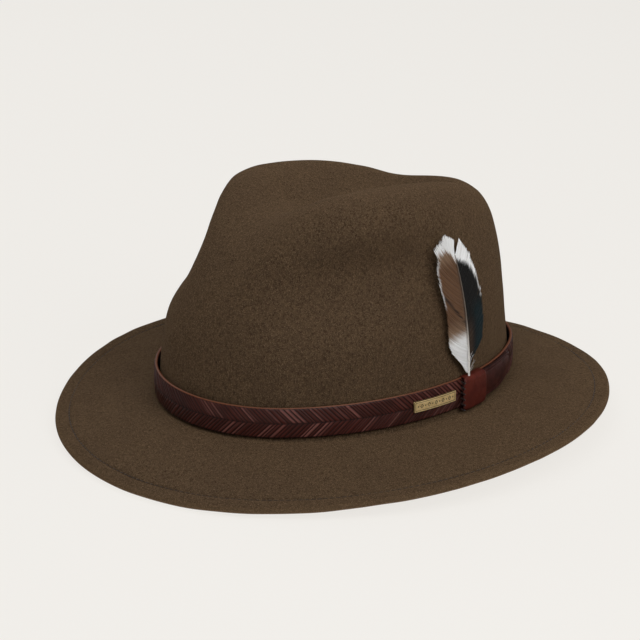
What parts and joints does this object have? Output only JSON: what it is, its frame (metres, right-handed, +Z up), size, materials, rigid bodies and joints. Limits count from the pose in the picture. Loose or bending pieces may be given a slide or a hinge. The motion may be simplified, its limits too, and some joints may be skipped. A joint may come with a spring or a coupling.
{
  "type": "fedora hat",
  "caption": "Felt fedora with a creased teardrop crown, snap brim, embossed leather hatband, brass plate, tucked feather, sweatband and satin lining.",
  "frame": {"origin": "centre of the head opening, level with the foot of the crown where it meets the brim", "axes": "+Z up out of the crown, -Y towards the front of the hat, +X towards the wearer's left"},
  "size_m": [0.2982, 0.3173, 0.1405],
  "materials": {
    "felt": "brushed felt",
    "felt_thread": "matt thread",
    "sweatband_leather": "smooth",
    "reed": "matt",
    "inner_thread": "matt thread",
    "ribbon": "ribbed ribbon",
    "satin": "satin",
    "piping": "satin cord",
    "band_leather": "embossed, waxed",
    "tongue_leather": "smooth, waxed",
    "keeper_leather": "smooth, waxed",
    "keeper_thread": "waxed thread",
    "brass": "brushed",
    "quill": "horn",
    "brown_vane": "feather barbs",
    "dark_vane": "feather barbs"
  },
  "bodies": {
    "felt": {"felt_body": "felt", "brim_thread": "felt_thread", "sweatband": "sweatband_leather", "sweatband_reed": "reed", "sweatband_thread": "inner_thread", "sweatband_bow": "ribbon", "lining_side": "satin", "lining_tip": "satin", "lining_piping": "piping"},
    "front_brim": {"brim_front": "felt", "brim_front_thread": "felt_thread"},
    "hatband": {"hatband_strap": "band_leather", "strap_tongue": "tongue_leather", "badge_plate": "brass"},
    "keeper": {"keeper_loop": "keeper_leather", "keeper_thread": "keeper_thread"},
    "feather": {"feather_quill": "quill", "feather_brown_vane": "brown_vane", "feather_dark_vane": "dark_vane"}
  },
  "joints": [
    {"name": "front_brim_snap", "type": "hinge", "parent": "felt", "child": "front_brim", "pos_m": [0, -0.112, -0.006], "axis": [-1, 0, 0], "range_deg": [-10, 25]},
    {"name": "hatband_lift", "type": "slide", "parent": "felt", "child": "hatband", "axis": [0, 0, 1], "range_m": [0, 0.14]},
    {"name": "keeper_slide", "type": "hinge", "parent": "hatband", "child": "keeper", "pos_m": [-0.04114, 0, 0.01], "axis": [0, 0, 1], "range_deg": [-1.8, 1.8]},
    {"name": "feather_draw", "type": "slide", "parent": "keeper", "child": "feather", "axis": [-0.0817, -0.0401, 0.9958], "range_m": [0, 0.035]}
  ]
}
